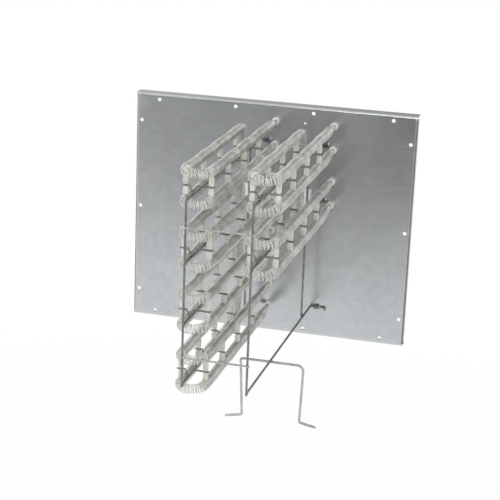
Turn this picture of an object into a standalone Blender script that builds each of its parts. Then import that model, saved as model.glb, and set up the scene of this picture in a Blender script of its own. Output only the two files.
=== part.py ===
# Electric heat kit: a folded steel plate that carries open-coil heating elements.
# Frame: X across the plate, +Y from the air side to the control side, +Z up.
# The origin is the centre of the plate's air-side face. All lengths are metres.

import math

import bmesh
import bpy
from mathutils import Matrix, Vector

MM = 0.001
CLEARANCE = 0.3 * MM            # gap kept between neighbouring pieces

# Mounting plate, one folded sheet
PLATE_WIDTH = 420 * MM
PLATE_HEIGHT = 346 * MM
SHEET = 1.2 * MM
TOP_FLANGE_DEPTH = 19 * MM      # also the bottom flange
SIDE_FLANGE_DEPTH = 12 * MM
FOLD_RADIUS = 4.0 * MM
FOLD_CHORDS = 3
CORNER_RELIEF = 1.0 * MM
FLANGE_END_CLIP = 1.5 * MM
MOUNT_PAD = (-20 * MM, 28 * MM, -8 * MM, 24 * MM)   # plain sheet round the origin
MOUNT_PAD_STEP = 0.005 * MM     # keeps the pad a face of its own
SCREW_HOLE_RADIUS = 2.75 * MM
SCREW_EDGE_X = 8.4 * MM         # side screw holes, from the plate's edge
SCREW_EDGE_Z = 8.9 * MM         # top and bottom screw holes, from the edge
SCREW_ROW_INSET = 35.3 * MM     # first hole of the top and bottom rows, from the side edge
SCREW_SIDE_INSET = 41.4 * MM    # first hole of the side rows, from the top or bottom edge
PILOT_HOLE_X = 46.4 * MM
PILOT_HOLE_DROP = 24.5 * MM     # from the plate's top edge
PILOT_HOLE_RADIUS = 1.6 * MM

# Element banks, stacked in two columns
LEFT_COLUMN_X = -9.3 * MM
COLUMN_PITCH = 86.3 * MM
TOP_BANK_DROP = 41.5 * MM       # first bank's centre, from the plate's top edge
LAST_BANK_RISE = 58.5 * MM      # last bank's centre, from the plate's bottom edge
LEFT_BANKS = 4
RIGHT_BANKS = 2

# Heating coil of one bank
COIL_RADIUS = 6.5 * MM
RUN_HALF_SPACING = 17.5 * MM    # left and right runs, from the bank's centre
TIER_HALF_SPACING = 21.5 * MM   # upper and lower runs, from the bank's centre
STATION_PITCH = 77.0 * MM
FIRST_STATION = 110.0 * MM      # distance in front of the plate
STATIONS = 4
REAR_TURN = 65.0 * MM           # distance of the rear turn in front of the plate
REAR_BEND = 10.0 * MM
COIL_END = 10.0 * MM            # where the coil is welded to its pins
STEPS_PER_STATION = 6
LEAD_IN_STEPS = 8
TWIST_STEP = math.radians(45)

# Terminals
TERMINAL_OFFSET_X = 13.0 * MM
TERMINAL_HALF_SPACING = 17.5 * MM
PIN_RADIUS = 2.0 * MM
PIN_TAIL = 16.0 * MM            # behind the plate's air-side face
PIN_IN_COIL = 6.0 * MM
NUT_RADIUS = 4.6 * MM
NUT_HEIGHT = 3.2 * MM
ROUND_SIDES = 8

# Ceramic terminal bushing
BUSHING_HEAD_RADIUS = 5.5 * MM
BUSHING_HEAD_HEIGHT = 8.0 * MM
BUSHING_CHAMFER = 0.9 * MM
BUSHING_SHANK_RADIUS = 4.2 * MM
BUSHING_BORE_RADIUS = PIN_RADIUS + 0.5 * MM
BUSHING_TAIL = SHEET + 3.0 * MM
BUSHING_HOLE_RADIUS = BUSHING_SHANK_RADIUS + CLEARANCE

# Hourglass ceramic and the cross wire that threads a pair of them
CERAMIC_WIDTH = 9.2 * MM
CERAMIC_TIP_WIDTH = 6.0 * MM
CERAMIC_WAIST = 7.0 * MM
CERAMIC_THICKNESS = 4.5 * MM
CERAMIC_SHOULDER = 10.0 * MM    # height of the widest place over the waist
SADDLE_GAP = 0.3 * MM
SADDLE_DEPTH = 0.7 * MM
CROSS_WIRE_RADIUS = 1.2 * MM
CROSS_WIRE_LEFT_END = 5.5 * MM  # past the left ceramic's centre
CROSS_WIRE_RIGHT_END = 3.5 * MM
FOOT_RISE_LEFT = 3.4 * MM
FOOT_RISE_RIGHT = 5.6 * MM

# Welded wire rack
RAIL_RADIUS = 1.5 * MM
RAIL_DROP = 12.0 * MM           # rails lie this far under the bank's centre
RAIL_INSET = 8.9 * MM           # from the left run's centre towards the right
POST_RADIUS = 1.5 * MM
FRONT_POST = 367.0 * MM
REAR_POST = 47.0 * MM
POST_RISE = 7.0 * MM            # above the top rail
POST_TAIL = 3.0 * MM            # below the bottom rail
BAR_RADIUS = 1.25 * MM
UPPER_BAR_DROP = 46.9 * MM      # under the first bank's centre
LOWER_BAR_RISE = 26.5 * MM      # over the last bank's centre
BAR_LEFT_END = 5.5 * MM
BAR_RIGHT_END = 3.6 * MM
HOOK_BEND = 3.0 * MM
HOOK_LENGTH = 17.0 * MM
LONG_HOOK_LENGTH = 23.0 * MM

# Lanced bridge in the plate, over each rail's hook
BRIDGE_START = 5.0 * MM
BRIDGE_WIDTH = 9.0 * MM
BRIDGE_HEIGHT = 9.0 * MM
BRIDGE_CROWN = 5.2 * MM
BRIDGE_SLIT = 0.5 * MM          # cut on each side of the bridge's strip
HOOK_STANDOFF = RAIL_RADIUS + 0.4 * MM
BRIDGE_RISE = HOOK_STANDOFF + RAIL_RADIUS + CLEARANCE + SHEET

# Hat-shaped leg under the bottom rail
LEG_RADIUS = 1.75 * MM
LEG_FORWARD = 238.0 * MM
LEG_REACH_LEFT = 42.5 * MM      # crown's corners, from the rail over it
LEG_REACH_RIGHT = 45.0 * MM
LEG_SPLAY_LEFT = 4.3 * MM
LEG_SPLAY_RIGHT = 2.5 * MM
LEG_HEIGHT = 82.0 * MM
FOOT_LENGTH = 23.5 * MM
FOOT_DROP = 4.5 * MM
LEG_LEFT_BEND = 3.0 * MM
LEG_RIGHT_BEND = 8.0 * MM

# Limit thermostats, in windows beside the second bank
WINDOW_WIDTH = 24.0 * MM
WINDOW_HEIGHT = 32.0 * MM
WINDOW_OFFSET_X = -28.0 * MM    # from the bank's centre
WINDOW_OFFSET_Z = -13.5 * MM
WINDOW_BANK = 1
THERMOSTAT_FLANGE = 1.0 * MM
THERMOSTAT_MARGIN = 6.0 * MM
THERMOSTAT_CAP_RADIUS = 8.0 * MM
THERMOSTAT_BODY_RADIUS = 8.6 * MM
THERMOSTAT_BODY_DEPTH = 9.0 * MM
TAB_WIDTH = 6.3 * MM
TAB_THICKNESS = 0.8 * MM
TAB_LENGTH = 8.0 * MM
TAB_SPACING = 8.0 * MM

COLLECTION_NAME = "electric_heat_kit"


# The scene starts empty, with one collection for the parts and one for cutters.
for old in list(bpy.data.objects):
    bpy.data.objects.remove(old, do_unlink=True)
parts = bpy.data.collections.new(COLLECTION_NAME)
cutters = bpy.data.collections.new("cutters")
for collection in (parts, cutters):
    bpy.context.scene.collection.children.link(collection)


def material(name, colour, roughness, metallic):
    """One Principled material with plain values."""
    made = bpy.data.materials.new(name)
    made.use_nodes = True
    shader = made.node_tree.nodes["Principled BSDF"]
    shader.inputs["Base Color"].default_value = (*colour, 1.0)
    shader.inputs["Roughness"].default_value = roughness
    shader.inputs["Metallic"].default_value = metallic
    made.diffuse_color = (*colour, 1.0)
    return made


galvanised = material("galvanised_sheet", (0.36, 0.38, 0.40), 0.45, 0.9)
nichrome = material("nichrome_wire", (0.33, 0.32, 0.29), 0.38, 1.0)
steatite = material("steatite_ceramic", (0.80, 0.78, 0.70), 0.45, 0.0)
rack_steel = material("rack_wire", (0.12, 0.12, 0.12), 0.45, 0.9)
leg_steel = material("leg_wire", (0.40, 0.40, 0.39), 0.35, 1.0)
bright_cap = material("thermostat_metal", (0.80, 0.80, 0.80), 0.30, 0.9)


def place(name, mesh, finish, location=(0, 0, 0)):
    """Put a mesh into the parts collection as one named piece."""
    piece = bpy.data.objects.new(name, mesh)
    piece.location = location
    if not mesh.materials:
        mesh.materials.append(finish)
    parts.objects.link(piece)
    return piece


def baked(source):
    """The evaluated mesh of an object in world space; the object is removed."""
    bpy.context.view_layer.update()
    shape = source.evaluated_get(bpy.context.evaluated_depsgraph_get())
    mesh = bpy.data.meshes.new_from_object(shape)
    mesh.transform(source.matrix_world)
    bpy.data.objects.remove(source, do_unlink=True)
    work = bmesh.new()
    work.from_mesh(mesh)
    bmesh.ops.remove_doubles(work, verts=work.verts, dist=0.00001)
    bmesh.ops.recalc_face_normals(work, faces=work.faces)
    work.to_mesh(mesh)
    work.free()
    mesh.materials.clear()
    return mesh


def wire_mesh(points, radius, resolution=1, tilts=None):
    """A round wire along straight segments, with filled ends."""
    curve = bpy.data.curves.new("wire", "CURVE")
    curve.dimensions = "3D"
    curve.fill_mode = "FULL"
    curve.bevel_depth = radius
    curve.bevel_resolution = resolution
    curve.use_fill_caps = True
    spline = curve.splines.new("POLY")
    spline.points.add(len(points) - 1)
    for index, point in enumerate(points):
        spline.points[index].co = (*point, 1.0)
        if tilts:
            spline.points[index].tilt = tilts[index]
    holder = bpy.data.objects.new("wire", curve)
    cutters.objects.link(holder)
    return baked(holder)


def outline_mesh(loops, thickness):
    """A flat outline with its holes, drawn in X and Y, given a thickness along Z."""
    curve = bpy.data.curves.new("outline", "CURVE")
    curve.dimensions = "2D"
    curve.fill_mode = "BOTH"
    curve.extrude = thickness / 2
    for loop in loops:
        spline = curve.splines.new("POLY")
        spline.points.add(len(loop) - 1)
        spline.use_cyclic_u = True
        for index, (x, y) in enumerate(loop):
            spline.points[index].co = (x, y, 0.0, 1.0)
    holder = bpy.data.objects.new("outline", curve)
    cutters.objects.link(holder)
    return baked(holder)


def cylinder_mesh(radius, start, end, sides=ROUND_SIDES):
    """A cylinder along Y from start to end."""
    work = bmesh.new()
    bmesh.ops.create_cone(work, cap_ends=True, segments=sides, radius1=radius,
                          radius2=radius, depth=end - start)
    bmesh.ops.rotate(work, verts=work.verts, matrix=Matrix.Rotation(math.pi / 2, 3, "X"))
    bmesh.ops.translate(work, verts=work.verts, vec=(0, (start + end) / 2, 0))
    mesh = bpy.data.meshes.new("cylinder")
    work.to_mesh(mesh)
    work.free()
    return mesh


def box_mesh(size, centre):
    """A box of the given size around its centre."""
    work = bmesh.new()
    bmesh.ops.create_cube(work, size=1.0)
    bmesh.ops.scale(work, verts=work.verts, vec=size)
    bmesh.ops.translate(work, verts=work.verts, vec=centre)
    mesh = bpy.data.meshes.new("box")
    work.to_mesh(mesh)
    work.free()
    return mesh


def fused(base, others):
    """One mesh that unites a base mesh with others, each given with its offset."""
    holder = bpy.data.objects.new("fused", base)
    cutters.objects.link(holder)
    helpers = []
    for mesh, offset in others:
        helper = bpy.data.objects.new("helper", mesh)
        helper.location = offset
        helper.hide_render = True
        helper.display_type = "WIRE"
        cutters.objects.link(helper)
        union = holder.modifiers.new("union", "BOOLEAN")
        union.operation = "UNION"
        union.solver = "EXACT"
        union.object = helper
        helpers.append(helper)
    mesh = baked(holder)
    for helper in helpers:
        bpy.data.objects.remove(helper, do_unlink=True)
    return mesh


def circle(centre, radius, sides=ROUND_SIDES):
    """Points around a circle in the plate's plane."""
    return [(centre[0] + radius * math.cos(2 * math.pi * step / sides),
             centre[1] + radius * math.sin(2 * math.pi * step / sides)) for step in range(sides)]


def rectangle(centre, width, height):
    """The corners of an upright rectangle in the plate's plane."""
    return [(centre[0] + sx * width / 2, centre[1] + sz * height / 2)
            for sx, sz in ((-1, -1), (1, -1), (1, 1), (-1, 1))]


# Places that several pieces share
TOP_BANK_Z = PLATE_HEIGHT / 2 - TOP_BANK_DROP
LAST_BANK_Z = -PLATE_HEIGHT / 2 + LAST_BANK_RISE
BANK_PITCH = (TOP_BANK_Z - LAST_BANK_Z) / (LEFT_BANKS - 1)
COLUMNS = {"left": (LEFT_COLUMN_X, LEFT_BANKS),
           "right": (LEFT_COLUMN_X + COLUMN_PITCH, RIGHT_BANKS)}
BANKS = [(side, number, column_x, TOP_BANK_Z - BANK_PITCH * number)
         for side, (column_x, count) in COLUMNS.items() for number in range(count)]
TURN = FIRST_STATION + STATION_PITCH * (STATIONS - 1)
RAIL_X = -RUN_HALF_SPACING + RAIL_INSET
TOP_RAIL_Z = TOP_BANK_Z - RAIL_DROP
BOTTOM_RAIL_Z = LAST_BANK_Z - RAIL_DROP


def rail_places():
    """Name, x, z and hook length of every rail of the rack."""
    rails = [(f"{side}_rail_{number + 1}", x + RAIL_X, z - RAIL_DROP, HOOK_LENGTH)
             for side, number, x, z in BANKS]
    right_x = COLUMNS["right"][0] + RAIL_X
    rails.append(("right_rail_bottom", right_x, BOTTOM_RAIL_Z, LONG_HOOK_LENGTH))
    return rails


def terminal_places():
    """Name, x and z of every terminal on the plate."""
    return [(f"{side}_bushing_{number + 1}_{tier}", x + TERMINAL_OFFSET_X,
             z + sign * TERMINAL_HALF_SPACING)
            for side, number, x, z in BANKS for tier, sign in (("upper", 1), ("lower", -1))]


def window_places():
    """Name, x and z of the centre of each thermostat window."""
    z = TOP_BANK_Z - BANK_PITCH * WINDOW_BANK + WINDOW_OFFSET_Z
    return [(f"{side}_limit_thermostat", x + WINDOW_OFFSET_X, z)
            for side, (x, count) in COLUMNS.items()]


# Mounting plate: a flat face with its holes, whose edges are then folded back
def bridge_hole(x, z):
    """The opening that a bridge stands over, with the strip's own corners on its ends."""
    left = x + BRIDGE_START
    right = left + BRIDGE_WIDTH
    across = [left - BRIDGE_SLIT, left, right, right + BRIDGE_SLIT]
    return ([(place_x, z - BRIDGE_HEIGHT / 2) for place_x in across]
            + [(place_x, z + BRIDGE_HEIGHT / 2) for place_x in reversed(across)])


def screw_holes():
    """Centres of the screw holes around the plate's edge."""
    row_z = PLATE_HEIGHT / 2 - SCREW_EDGE_Z
    side_x = PLATE_WIDTH / 2 - SCREW_EDGE_X
    row_end = PLATE_WIDTH / 2 - SCREW_ROW_INSET
    side_end = PLATE_HEIGHT / 2 - SCREW_SIDE_INSET
    holes = [(row_end * step / 3, sign * row_z) for step in (-3, -1, 1, 3) for sign in (-1, 1)]
    holes += [(sign * side_x, side_end * step) for sign in (-1, 1) for step in (-1, 0, 1)]
    return holes


def plate_loops():
    """The flat part of the plate: its outline, then every hole."""
    edge_x = PLATE_WIDTH / 2 - FOLD_RADIUS
    edge_z = PLATE_HEIGHT / 2 - FOLD_RADIUS
    corner = CORNER_RELIEF
    outline = [(-edge_x + corner, -edge_z), (edge_x - corner, -edge_z),
               (edge_x, -edge_z + corner), (edge_x, edge_z - corner),
               (edge_x - corner, edge_z), (-edge_x + corner, edge_z),
               (-edge_x, edge_z - corner), (-edge_x, -edge_z + corner)]
    loops = [outline]
    loops += [circle(centre, SCREW_HOLE_RADIUS) for centre in screw_holes()]
    loops += [circle((x, z), BUSHING_HOLE_RADIUS) for _, x, z in terminal_places()]
    loops += [rectangle((x, z), WINDOW_WIDTH, WINDOW_HEIGHT) for _, x, z in window_places()]
    loops += [bridge_hole(x, z) for _, x, z, _ in rail_places()]
    loops.append(circle((PILOT_HOLE_X, PLATE_HEIGHT / 2 - PILOT_HOLE_DROP), PILOT_HOLE_RADIUS))
    return loops


def edge_between(work, first, second):
    """The edge whose ends lie at two places of the plate's plane."""
    wanted = [Vector((first[0], 0, first[1])), Vector((second[0], 0, second[1]))]
    ends = [min(work.verts, key=lambda vert: (vert.co - place_at).length) for place_at in wanted]
    return work.edges.get(ends)


def extruded(work, edge, moves):
    """Extrude an edge once for each pair of moves of its two ends; returns the last edge."""
    start = edge.verts[0].co.copy()
    for first, second in moves:
        made = bmesh.ops.extrude_edge_only(work, edges=[edge])["geom"]
        edge = next(item for item in made if isinstance(item, bmesh.types.BMEdge))
        ends = sorted(edge.verts, key=lambda vert: (vert.co - start).length)
        ends[0].co += first
        ends[1].co += second
        start = ends[0].co.copy()
    return edge


def fold_moves(outward, along):
    """The steps of a fold: a quarter bend in chords, then the flange itself.

    The top and bottom folds reach over the ends of the side folds, to close the corners.
    """
    over_side = abs(outward.z) > 0.5
    reach = along * (FOLD_RADIUS + CORNER_RELIEF - CLEARANCE if over_side else 0.0)
    depth = TOP_FLANGE_DEPTH if over_side else SIDE_FLANGE_DEPTH
    moves = []
    before = (0.0, 0.0)
    for step in range(1, FOLD_CHORDS + 1):
        angle = math.pi / 2 * step / FOLD_CHORDS
        here = (FOLD_RADIUS * math.sin(angle), FOLD_RADIUS * (1 - math.cos(angle)))
        shift = outward * (here[0] - before[0]) + Vector((0, here[1] - before[1], 0))
        moves.append((shift - reach, shift + reach))
        reach = along * 0.0
        before = here
    drop = Vector((0, depth - FOLD_RADIUS, 0))
    moves.append((drop + along * FLANGE_END_CLIP, drop - along * FLANGE_END_CLIP))
    return moves


def clear_pad(work):
    """Cut the sheet along the sides of the mount pad, and make the pad one face."""
    low_x, high_x, low_z, high_z = MOUNT_PAD
    cuts = ((low_x, 0, (1, 0, 0)), (high_x, 0, (1, 0, 0)), (0, low_z, (0, 0, 1)),
            (0, high_z, (0, 0, 1)))
    for x, z, normal in cuts:
        faces = [face for face in work.faces
                 if min(v.co.x for v in face.verts) < high_x - CLEARANCE
                 and max(v.co.x for v in face.verts) > low_x + CLEARANCE
                 and min(v.co.z for v in face.verts) < high_z - CLEARANCE
                 and max(v.co.z for v in face.verts) > low_z + CLEARANCE]
        edges = {edge for face in faces for edge in face.edges}
        verts = {vert for face in faces for vert in face.verts}
        bmesh.ops.bisect_plane(work, geom=[*verts, *edges, *faces], plane_co=(x, 0, z),
                               plane_no=normal)
    inside = [face for face in work.faces
              if low_x < face.calc_center_median().x < high_x
              and low_z < face.calc_center_median().z < high_z]
    pad = bmesh.ops.dissolve_faces(work, faces=inside)["region"]
    for vert in {vert for face in pad for vert in face.verts}:
        vert.co.y -= MOUNT_PAD_STEP


def mounting_plate():
    """The folded sheet, with its flanges and its lanced bridges."""
    face = outline_mesh(plate_loops(), 0.0)
    face.transform(Matrix.Rotation(math.pi / 2, 4, "X"))
    work = bmesh.new()
    work.from_mesh(face)
    bmesh.ops.beautify_fill(work, faces=work.faces, edges=work.edges)
    clear_pad(work)
    outline = plate_loops()[0]
    for first, second in ((0, 1), (2, 3), (4, 5), (6, 7)):
        edge = edge_between(work, outline[first], outline[second])
        middle = (edge.verts[0].co + edge.verts[1].co) / 2
        along = (edge.verts[1].co - edge.verts[0].co).normalized()
        outward = Vector((round(middle.x / PLATE_WIDTH * 2), 0, round(middle.z / PLATE_HEIGHT * 2)))
        extruded(work, edge, fold_moves(outward, along))
    for _, x, z, _ in rail_places():
        left = x + BRIDGE_START
        right = left + BRIDGE_WIDTH
        top = z + BRIDGE_HEIGHT / 2
        bottom = z - BRIDGE_HEIGHT / 2
        slope = (BRIDGE_HEIGHT - BRIDGE_CROWN) / 2
        lift = Vector((0, -BRIDGE_RISE, -slope))
        across = Vector((0, 0, -BRIDGE_CROWN))
        low_edge = edge_between(work, (left, bottom), (right, bottom))
        high_edge = edge_between(work, (left, top), (right, top))
        crown = extruded(work, high_edge, [(lift, lift), (across, across)])
        bmesh.ops.bridge_loops(work, edges=[crown, low_edge])
    bmesh.ops.recalc_face_normals(work, faces=work.faces)
    front = max(work.faces, key=lambda item: item.calc_area())
    if front.normal.y > 0:
        bmesh.ops.reverse_faces(work, faces=work.faces)
    work.to_mesh(face)
    work.free()
    plate = place("mounting_plate", face, galvanised)
    shell = plate.modifiers.new("sheet", "SOLIDIFY")
    shell.thickness = SHEET
    shell.offset = -1.0
    shell.use_even_offset = True


# Heating element: one coil in two tiers of two runs, with a welded pin at each end
def eased(share):
    """A smooth rise from 0 to 1."""
    return (1 - math.cos(math.pi * min(max(share, 0.0), 1.0))) / 2


def arc(centre, first, second, steps):
    """Points of a half or quarter turn, from centre + first to centre + second."""
    middle = (first + second).length < 1e-6
    normal = Vector((0, -first.length, 0)) if middle else second
    sweep = math.pi if middle else math.pi / 2
    return [centre + first * math.cos(sweep * step / steps) + normal * math.sin(sweep * step / steps)
            for step in range(1, steps + 1)]


def straight(start, end, steps):
    """Evenly spaced points from start to end, without the start."""
    return [start.lerp(end, step / steps) for step in range(1, steps + 1)]


def coil_path():
    """The coil's centre line, from its upper terminal to its lower one."""
    half = RUN_HALF_SPACING
    tier = TIER_HALF_SPACING
    run_steps = STEPS_PER_STATION * (STATIONS - 1)

    def lead_in(sign):
        """The coil bends from its terminal to its run, between the plate and the first station."""
        made = []
        for step in range(LEAD_IN_STEPS + 1):
            share = step / LEAD_IN_STEPS
            y = -COIL_END - (FIRST_STATION - COIL_END) * share
            x = TERMINAL_OFFSET_X + (half - TERMINAL_OFFSET_X) * eased(share * 1.4)
            z = TERMINAL_HALF_SPACING + (tier - TERMINAL_HALF_SPACING) * eased(share * 1.4)
            made.append(Vector((x, y, sign * z)))
        return made

    points = lead_in(1)
    for sign in (1, -1):
        z = sign * tier
        run = [Vector((side * half, -distance, z)) for side in (1, -1)
               for distance in ((FIRST_STATION, TURN) if side > 0 else (TURN, FIRST_STATION))]
        turn = arc(Vector((0, -TURN, z)), Vector((half, 0, 0)), Vector((-half, 0, 0)), 6)
        way = straight(run[0], run[1], run_steps) + turn + straight(run[2], run[3], run_steps)
        if sign > 0:
            points += way
            bend = Vector((-half, -REAR_TURN - REAR_BEND, tier))
            down = Vector((-half, -REAR_TURN, tier - REAR_BEND))
            points += straight(run[3], bend, 4)
            points += arc(bend - Vector((0, 0, REAR_BEND)), Vector((0, 0, REAR_BEND)),
                          Vector((0, REAR_BEND, 0)), 2)
            low = Vector((down.x, down.y, -down.z))
            points += straight(down, low, 2)
            points += arc(Vector((bend.x, bend.y, -bend.z + REAR_BEND)), Vector((0, REAR_BEND, 0)),
                          Vector((0, 0, -REAR_BEND)), 2)
            points += straight(points[-1], Vector((-half, -FIRST_STATION, -tier)), 4)
        else:
            points += list(reversed(way))[1:] + [run[0]]
    return points + list(reversed(lead_in(-1)))[1:]


def element_mesh():
    """The coil as a twisted bar of its outer size, united with its pins and nuts."""
    path = coil_path()
    twist = [TWIST_STEP * index for index in range(len(path))]
    coil = wire_mesh(path, COIL_RADIUS, resolution=0, tilts=twist)
    pin = cylinder_mesh(PIN_RADIUS, -COIL_END - PIN_IN_COIL, PIN_TAIL)
    nut_start = BUSHING_TAIL + CLEARANCE
    nut = cylinder_mesh(NUT_RADIUS, nut_start, nut_start + NUT_HEIGHT, sides=6)
    pin_and_nut = fused(pin, [(nut, (0, 0, 0))])
    ends = [(TERMINAL_OFFSET_X, 0, sign * TERMINAL_HALF_SPACING) for sign in (1, -1)]
    return fused(coil, [(pin_and_nut, end) for end in ends])


# Ceramic bushing: a turned ring, with its head on the air side
def bushing_mesh():
    """The bushing's profile turned about its bore, then laid along Y."""
    profile = [(BUSHING_BORE_RADIUS, BUSHING_HEAD_HEIGHT),
               (BUSHING_HEAD_RADIUS - BUSHING_CHAMFER, BUSHING_HEAD_HEIGHT),
               (BUSHING_HEAD_RADIUS, BUSHING_HEAD_HEIGHT - BUSHING_CHAMFER),
               (BUSHING_HEAD_RADIUS, CLEARANCE),
               (BUSHING_SHANK_RADIUS, CLEARANCE),
               (BUSHING_SHANK_RADIUS, -BUSHING_TAIL),
               (BUSHING_BORE_RADIUS, -BUSHING_TAIL)]
    mesh = bpy.data.meshes.new("bushing_profile")
    edges = [(index, (index + 1) % len(profile)) for index in range(len(profile))]
    mesh.from_pydata([(radius, 0, height) for radius, height in profile], edges, [])
    holder = bpy.data.objects.new("bushing_profile", mesh)
    cutters.objects.link(holder)
    turned = holder.modifiers.new("turned", "SCREW")
    turned.steps = ROUND_SIDES
    turned.render_steps = ROUND_SIDES
    turned.use_merge_vertices = True
    turned.merge_threshold = 0.00001
    holder.rotation_euler = (math.pi / 2, 0, 0)
    return baked(holder)


# Insulator pair: two hourglass ceramics threaded on one formed cross wire
def insulator_pair_mesh():
    """Both ceramics united with their cross wire, about the bank's centre."""
    top = TIER_HALF_SPACING - COIL_RADIUS - SADDLE_GAP
    tip = top + SADDLE_DEPTH
    right = [(CERAMIC_TIP_WIDTH / 2, tip), (CERAMIC_WIDTH / 2, CERAMIC_SHOULDER),
             (CERAMIC_WAIST / 2, 0), (CERAMIC_WIDTH / 2, -CERAMIC_SHOULDER),
             (CERAMIC_TIP_WIDTH / 2, -tip)]
    left = [(-x, z) for x, z in reversed(right)]
    ceramic = outline_mesh([[(0, top)] + right + [(0, -top)] + left], CERAMIC_THICKNESS)
    ceramic.transform(Matrix.Rotation(math.pi / 2, 4, "X"))
    foot_z = -RAIL_DROP + RAIL_RADIUS + CLEARANCE + CROSS_WIRE_RADIUS
    cross = [Vector((-RUN_HALF_SPACING - CROSS_WIRE_LEFT_END, 0, 0)),
             Vector((RAIL_X - FOOT_RISE_LEFT, 0, 0)), Vector((RAIL_X, 0, foot_z)),
             Vector((RAIL_X + FOOT_RISE_RIGHT, 0, 0)),
             Vector((RUN_HALF_SPACING + CROSS_WIRE_RIGHT_END, 0, 0))]
    wire = wire_mesh(cross, CROSS_WIRE_RADIUS, resolution=0)
    places = [(-RUN_HALF_SPACING, 0, 0), (RUN_HALF_SPACING, 0, 0)]
    return fused(wire, [(ceramic, spot) for spot in places])


# Wire rack: rails with hooked ends, upright posts and front bars, welded together
def rail_mesh(hook):
    """One rail from its front end to its hook along the plate, about its own axis."""
    front = -FRONT_POST + POST_RADIUS + CLEARANCE
    centre = Vector((HOOK_BEND, -HOOK_STANDOFF - HOOK_BEND, 0))
    bend = [centre + HOOK_BEND * Vector((-math.cos(angle), math.sin(angle), 0))
            for angle in (0, math.pi / 6, math.pi / 3, math.pi / 2)]
    return wire_mesh([Vector((0, front, 0))] + bend + [Vector((hook, -HOOK_STANDOFF, 0))],
                     RAIL_RADIUS)


def rack():
    """All the wires of the rack, each a piece of its own."""
    for name, x, z, hook in rail_places():
        place(name, rail_mesh(hook), rack_steel, (x, 0, z))
    top = TOP_RAIL_Z + POST_RISE
    bottom = BOTTOM_RAIL_Z - POST_TAIL
    beside = RAIL_RADIUS + POST_RADIUS + CLEARANCE
    for side, (column_x, _) in COLUMNS.items():
        x = column_x + RAIL_X
        front = [Vector((x, -FRONT_POST, height)) for height in (bottom, top)]
        rear = [Vector((x - beside, -REAR_POST, height)) for height in (bottom, top)]
        place(f"{side}_front_post", wire_mesh(front, POST_RADIUS, 2), rack_steel)
        place(f"{side}_rear_post", wire_mesh(rear, POST_RADIUS, 2), rack_steel)
    left_end = COLUMNS["left"][0] + RAIL_X - BAR_LEFT_END
    right_end = COLUMNS["right"][0] + RAIL_X + BAR_RIGHT_END
    ahead = -FRONT_POST - POST_RADIUS - CLEARANCE - BAR_RADIUS
    heights = {"upper_front_bar": TOP_BANK_Z - UPPER_BAR_DROP,
               "lower_front_bar": LAST_BANK_Z + LOWER_BAR_RISE}
    for name, height in heights.items():
        bar = [Vector((end, ahead, height)) for end in (left_end, right_end)]
        place(name, wire_mesh(bar, BAR_RADIUS, 2), leg_steel)


# Support leg: one wire bent to a hat, hung under the bottom rail
def rounded(points, radii, steps=4):
    """A polyline whose inner corners are replaced by arcs of the given radii."""
    made = [points[0]]
    for before, corner, after, radius in zip(points, points[1:], points[2:], radii):
        back = (before - corner).normalized()
        ahead = (after - corner).normalized()
        half = back.angle(ahead) / 2
        reach = radius / math.tan(half)
        centre = corner + (back + ahead).normalized() * radius / math.sin(half)
        start = corner + back * reach - centre
        end = corner + ahead * reach - centre
        made += [centre + start.lerp(end, step / steps).normalized() * radius
                 for step in range(steps + 1)]
    return made + [points[-1]]


def support_leg():
    """The hat-shaped leg, with its crown under the bottom rail and two splayed feet."""
    crown = BOTTOM_RAIL_Z - RAIL_RADIUS - CLEARANCE - LEG_RADIUS
    ankle = crown - LEG_HEIGHT
    rail_x = COLUMNS["right"][0] + RAIL_X
    left = rail_x - LEG_REACH_LEFT
    right = rail_x + LEG_REACH_RIGHT
    corners = [(left + LEG_SPLAY_LEFT - FOOT_LENGTH, ankle - FOOT_DROP),
               (left + LEG_SPLAY_LEFT, ankle), (left, crown), (right, crown),
               (right - LEG_SPLAY_RIGHT, ankle),
               (right - LEG_SPLAY_RIGHT + FOOT_LENGTH, ankle - FOOT_DROP)]
    points = [Vector((x, -LEG_FORWARD, z)) for x, z in corners]
    radii = [LEG_LEFT_BEND, LEG_LEFT_BEND, LEG_RIGHT_BEND, LEG_LEFT_BEND]
    place("support_leg", wire_mesh(rounded(points, radii), LEG_RADIUS, 2), leg_steel)


# Limit thermostat: a bright cap and flange in the plate's window, the body behind
def thermostat_mesh():
    """Flange, cap, body and two blade tabs, about the window's centre."""
    seat = SHEET + CLEARANCE
    back = seat + THERMOSTAT_FLANGE
    flange = box_mesh((WINDOW_WIDTH + THERMOSTAT_MARGIN, THERMOSTAT_FLANGE,
                       WINDOW_HEIGHT + THERMOSTAT_MARGIN), (0, seat + THERMOSTAT_FLANGE / 2, 0))
    cap = cylinder_mesh(THERMOSTAT_CAP_RADIUS, -SHEET, seat + THERMOSTAT_FLANGE / 2, 12)
    body = cylinder_mesh(THERMOSTAT_BODY_RADIUS, seat + THERMOSTAT_FLANGE / 2,
                         back + THERMOSTAT_BODY_DEPTH, 12)
    tab_back = back + THERMOSTAT_BODY_DEPTH
    tabs = [box_mesh((TAB_THICKNESS, TAB_LENGTH * 2, TAB_WIDTH),
                     (sign * TAB_SPACING / 2, tab_back, 0)) for sign in (-1, 1)]
    return fused(flange, [(mesh, (0, 0, 0)) for mesh in (cap, body, *tabs)])


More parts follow.
